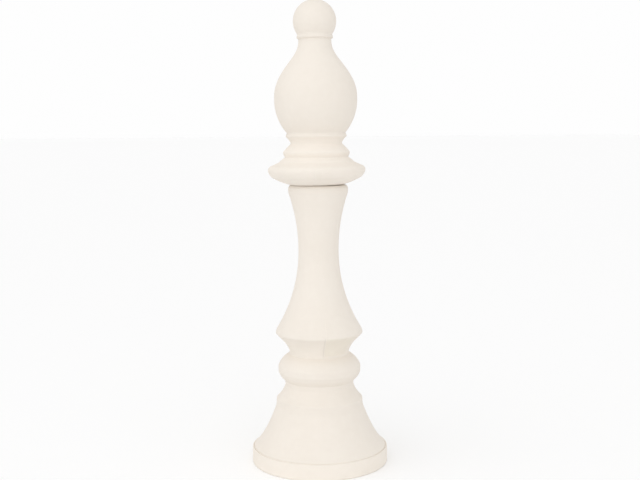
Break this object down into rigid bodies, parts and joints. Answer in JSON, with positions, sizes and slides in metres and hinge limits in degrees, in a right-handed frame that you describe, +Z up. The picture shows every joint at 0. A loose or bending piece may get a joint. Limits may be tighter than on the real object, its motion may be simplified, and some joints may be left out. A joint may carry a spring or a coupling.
{
  "type": "chess bishop sculpture",
  "caption": "Floor-standing turned sculpture of a chess bishop: flared base, waisted stem, and a separate collared head with a bulb and ball finial.",
  "frame": {"origin": "centre of the plinth's underside", "axes": "+Z up along the body's axis; -Y towards the side that the picture shows; the head sits 2.5 mm towards -X and leans 0.41 degrees that way"},
  "size_m": [0.297, 0.297, 1],
  "materials": {
    "body_cast_stone": "matte, cream, fine cast surface with a faint mould seam",
    "head_cast_stone": "matte, cream, fine cast surface with a faint mould seam"
  },
  "bodies": {
    "root": {"body": "body_cast_stone", "head": "head_cast_stone"}
  },
  "joints": []
}
